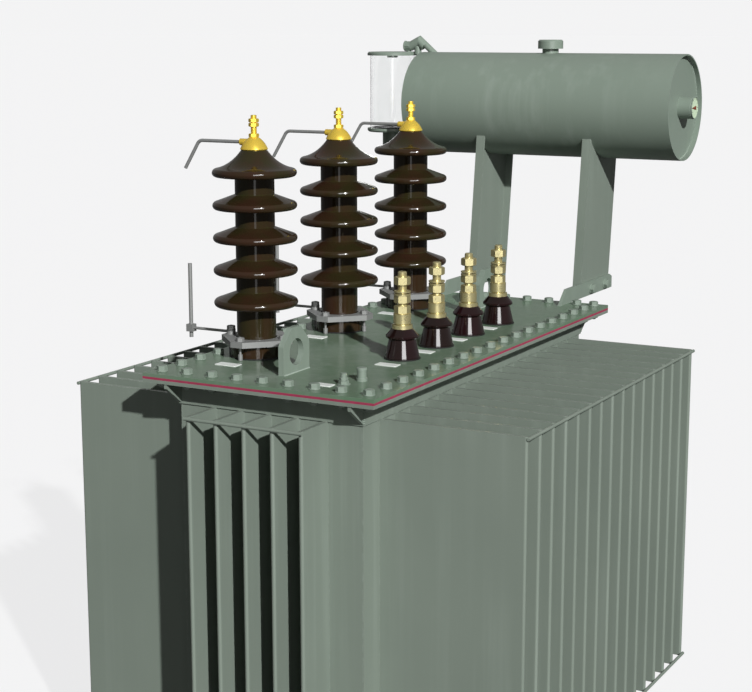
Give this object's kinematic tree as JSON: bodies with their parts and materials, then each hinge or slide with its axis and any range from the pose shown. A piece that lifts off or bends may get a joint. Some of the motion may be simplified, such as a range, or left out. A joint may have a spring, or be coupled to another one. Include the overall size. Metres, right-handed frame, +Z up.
{
  "type": "oil filled distribution transformer with conservator",
  "caption": "Oil filled three phase distribution transformer with finned tank, porcelain bushings with arcing horns, and a raised conservator with breather.",
  "frame": {"origin": "middle of the four anchor holes, on the floor", "axes": "+X along the tank towards the conservator, +Y towards the high voltage bushings, +Z up"},
  "size_m": [1.349, 0.8795, 1.3445],
  "materials": {
    "tank_paint": "satin grey green enamel",
    "cover_paint": "glossy dark grey green enamel",
    "red_rubber": "matte crimson",
    "brown_porcelain": "glossy dark brown glaze",
    "dark_porcelain": "glossy black brown glaze",
    "gold_brass": "bright",
    "pale_brass": "bright",
    "zinc_steel": "zinc plated",
    "clear_glass": "clear",
    "gauge_body": "satin enamel"
  },
  "bodies": {
    "root": {"breather_fittings": "tank_paint", "breather_glass": "clear_glass", "breather_neck": "tank_paint", "conservator_end_plates": "tank_paint", "conservator_shell": "tank_paint", "cover_gasket": "red_rubber", "earth_terminal": "cover_paint", "far_fin_wall": "tank_paint", "filler_cap": "tank_paint", "fin_tie_rods": "tank_paint", "hv_clamp_ring_1": "zinc_steel", "hv_clamp_ring_2": "zinc_steel", "hv_clamp_ring_3": "zinc_steel", "hv_fin_wall": "tank_paint", "hv_lower_horns": "zinc_steel", "hv_porcelain_1": "brown_porcelain", "hv_porcelain_2": "brown_porcelain", "hv_porcelain_3": "brown_porcelain", "hv_skid": "tank_paint", "hv_terminal_1": "gold_brass", "hv_terminal_2": "gold_brass", "hv_terminal_3": "gold_brass", "hv_upper_horns": "zinc_steel", "hv_upright": "tank_paint", "level_gauge": "gauge_body", "lifting_lugs": "cover_paint", "lv_fin_wall": "tank_paint", "lv_porcelain_1": "dark_porcelain", "lv_porcelain_2": "dark_porcelain", "lv_porcelain_3": "dark_porcelain", "lv_porcelain_4": "dark_porcelain", "lv_skid": "tank_paint", "lv_terminal_1": "pale_brass", "lv_terminal_2": "pale_brass", "lv_terminal_3": "pale_brass", "lv_terminal_4": "pale_brass", "lv_upright": "tank_paint", "near_fin_wall": "tank_paint", "rim_gussets": "tank_paint", "support_brackets": "cover_paint", "tank_bottom": "tank_paint", "tank_cover": "cover_paint", "tank_rim": "tank_paint", "thermometer_pocket": "cover_paint"}
  },
  "joints": []
}
